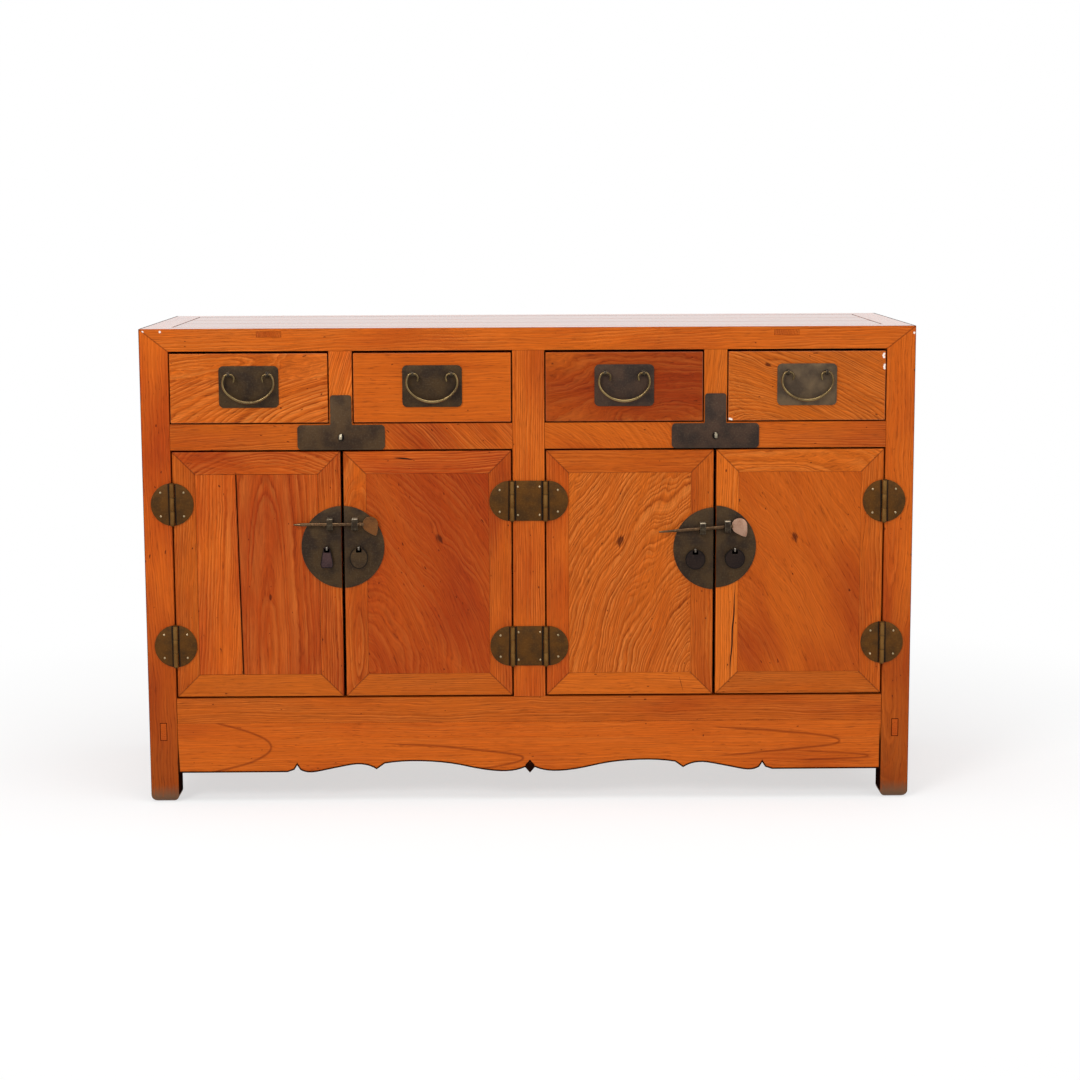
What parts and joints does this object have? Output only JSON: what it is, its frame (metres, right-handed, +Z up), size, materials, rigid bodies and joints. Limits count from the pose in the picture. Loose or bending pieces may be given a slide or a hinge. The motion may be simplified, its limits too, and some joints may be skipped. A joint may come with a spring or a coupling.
{
  "type": "kang cabinet",
  "caption": "Low East Asian elm cabinet: a row of drawers over paired doors, with plate hinges, bail pulls and sliding lock pins.",
  "frame": {"origin": "on the floor, at the centre of the overall box, which takes in the fittings that stand proud in front", "axes": "+X to the right seen from the front, +Y to the back, +Z up"},
  "size_m": [1.3, 0.466, 0.81],
  "materials": {
    "elm": "old orange-brown lacquer, satin",
    "elm_panel": "old orange-brown lacquer over bold grain, satin",
    "elm_bare": "bare, dry, darkened by age",
    "brass_dark": "dark aged sheet, worn at the edges",
    "brass_hinge": "brown aged sheet",
    "brass_bright": "handled wire, rubbed bright",
    "brass_worn": "handled rod, rubbed unevenly"
  },
  "bodies": {
    "carcass": {"legs_front": "elm", "legs_back": "elm", "top_frame": "elm", "top_panel": "elm", "top_battens": "elm_bare", "bottom_rail": "elm", "floor_boards": "elm_bare", "side_panels": "elm", "side_rails": "elm", "back_panels": "elm_bare", "back_frame": "elm_bare", "middle_stile": "elm", "drawer_dividers": "elm", "drawer_rails": "elm", "front_apron": "elm", "side_aprons": "elm", "floor_battens": "elm_bare", "drawer_runners": "elm_bare", "hinge_plates": "brass_hinge", "hinge_pins": "brass_hinge", "tee_plates": "brass_dark"},
    "drawer_1": {"drawer_1_front": "elm_panel", "drawer_1_box": "elm_bare", "drawer_1_pull": "brass_dark"},
    "bail_1": {"drawer_1_bail": "brass_bright"},
    "drawer_2": {"drawer_2_front": "elm_panel", "drawer_2_box": "elm_bare", "drawer_2_pull": "brass_dark"},
    "bail_2": {"drawer_2_bail": "brass_bright"},
    "drawer_3": {"drawer_3_front": "elm_panel", "drawer_3_box": "elm_bare", "drawer_3_pull": "brass_dark"},
    "bail_3": {"drawer_3_bail": "brass_bright"},
    "drawer_4": {"drawer_4_front": "elm_panel", "drawer_4_box": "elm_bare", "drawer_4_pull": "brass_dark"},
    "bail_4": {"drawer_4_bail": "brass_bright"},
    "door_1": {"door_1_frame": "elm", "door_1_panel": "elm_panel", "door_1_hinges": "brass_hinge", "door_1_lock": "brass_dark"},
    "tag_1": {"door_1_tag": "brass_dark"},
    "door_2": {"door_2_frame": "elm", "door_2_panel": "elm_panel", "door_2_hinges": "brass_hinge", "door_2_lock": "brass_dark"},
    "tag_2": {"door_2_tag": "brass_dark"},
    "door_3": {"door_3_frame": "elm", "door_3_panel": "elm_panel", "door_3_hinges": "brass_hinge", "door_3_lock": "brass_dark"},
    "tag_3": {"door_3_tag": "brass_dark"},
    "door_4": {"door_4_frame": "elm", "door_4_panel": "elm_panel", "door_4_hinges": "brass_hinge", "door_4_lock": "brass_dark"},
    "tag_4": {"door_4_tag": "brass_dark"},
    "pin_left": {"lock_pin_left": "brass_worn"},
    "pin_right": {"lock_pin_right": "brass_worn"}
  },
  "joints": [
    {"name": "drawer_1_slide", "type": "slide", "parent": "carcass", "child": "drawer_1", "axis": [0, -1, 0], "range_m": [0, 0.3]},
    {"name": "bail_1_swing", "type": "hinge", "parent": "drawer_1", "child": "bail_1", "pos_m": [-0.468, -0.2265, 0.7335], "axis": [-1, 0, 0], "range_deg": [0, 110]},
    {"name": "drawer_2_slide", "type": "slide", "parent": "carcass", "child": "drawer_2", "axis": [0, -1, 0], "range_m": [0, 0.3]},
    {"name": "bail_2_swing", "type": "hinge", "parent": "drawer_2", "child": "bail_2", "pos_m": [-0.161, -0.2265, 0.7335], "axis": [-1, 0, 0], "range_deg": [0, 110]},
    {"name": "drawer_3_slide", "type": "slide", "parent": "carcass", "child": "drawer_3", "axis": [0, -1, 0], "range_m": [0, 0.3]},
    {"name": "bail_3_swing", "type": "hinge", "parent": "drawer_3", "child": "bail_3", "pos_m": [0.161, -0.2265, 0.7335], "axis": [-1, 0, 0], "range_deg": [0, 110]},
    {"name": "drawer_4_slide", "type": "slide", "parent": "carcass", "child": "drawer_4", "axis": [0, -1, 0], "range_m": [0, 0.3]},
    {"name": "bail_4_swing", "type": "hinge", "parent": "drawer_4", "child": "bail_4", "pos_m": [0.468, -0.2265, 0.7335], "axis": [-1, 0, 0], "range_deg": [0, 110]},
    {"name": "door_1_hinge", "type": "hinge", "parent": "carcass", "child": "door_1", "pos_m": [-0.60075, -0.2214, 0.3935], "axis": [0, 0, -1], "range_deg": [0, 170]},
    {"name": "tag_1_swing", "type": "hinge", "parent": "door_1", "child": "tag_1", "pos_m": [-0.3415, -0.224, 0.438], "axis": [-1, 0, 0], "range_deg": [0, 90]},
    {"name": "door_2_hinge", "type": "hinge", "parent": "carcass", "child": "door_2", "pos_m": [-0.02825, -0.2214, 0.3935], "axis": [0, 0, 1], "range_deg": [0, 90]},
    {"name": "tag_2_swing", "type": "hinge", "parent": "door_2", "child": "tag_2", "pos_m": [-0.2875, -0.224, 0.438], "axis": [-1, 0, 0], "range_deg": [0, 90]},
    {"name": "door_3_hinge", "type": "hinge", "parent": "carcass", "child": "door_3", "pos_m": [0.02825, -0.2214, 0.3935], "axis": [0, 0, -1], "range_deg": [0, 90]},
    {"name": "tag_3_swing", "type": "hinge", "parent": "door_3", "child": "tag_3", "pos_m": [0.2815, -0.224, 0.431], "axis": [-1, 0, 0], "range_deg": [0, 90]},
    {"name": "door_4_hinge", "type": "hinge", "parent": "carcass", "child": "door_4", "pos_m": [0.60075, -0.2214, 0.3935], "axis": [0, 0, 1], "range_deg": [0, 170]},
    {"name": "tag_4_swing", "type": "hinge", "parent": "door_4", "child": "tag_4", "pos_m": [0.3485, -0.224, 0.432], "axis": [-1, 0, 0], "range_deg": [0, 90]},
    {"name": "pin_left_slide", "type": "slide", "parent": "door_2", "child": "pin_left", "axis": [1, 0, 0], "range_m": [0, 0.1003]},
    {"name": "pin_right_slide", "type": "slide", "parent": "door_4", "child": "pin_right", "axis": [0.9975, 0, 0.0712], "range_m": [0, 0.1133]}
  ]
}
